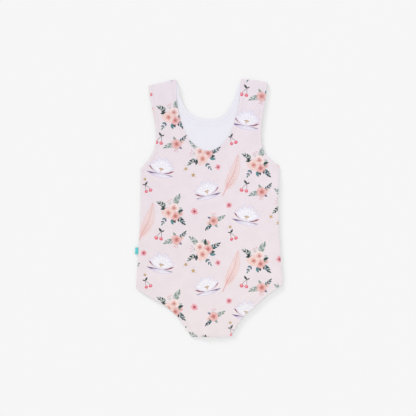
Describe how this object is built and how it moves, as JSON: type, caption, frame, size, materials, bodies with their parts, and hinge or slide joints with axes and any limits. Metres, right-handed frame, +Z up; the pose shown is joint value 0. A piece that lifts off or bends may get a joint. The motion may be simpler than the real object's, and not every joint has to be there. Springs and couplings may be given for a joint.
{
  "type": "leotard",
  "caption": "Child's sleeveless dance leotard laid flat, with scoop necks, wide straps, a full seat, a white front lining and a plain side label.",
  "frame": {"origin": "the middle of the garment's outline, on the surface it lies on", "axes": "+X to the right seen from above, +Y towards the shoulders, +Z up from the surface, with the back panel uppermost"},
  "size_m": [0.2571, 0.4481, 0.0057],
  "materials": {
    "printed_jersey": "soft matt stretch jersey, pale pink with a floral print",
    "lining_jersey": "matt white lining jersey",
    "label_ribbon": "plain teal satin ribbon"
  },
  "bodies": {
    "root": {"front_panel": "printed_jersey", "front_lining": "lining_jersey", "back_panel": "printed_jersey", "side_label": "label_ribbon"}
  },
  "joints": []
}
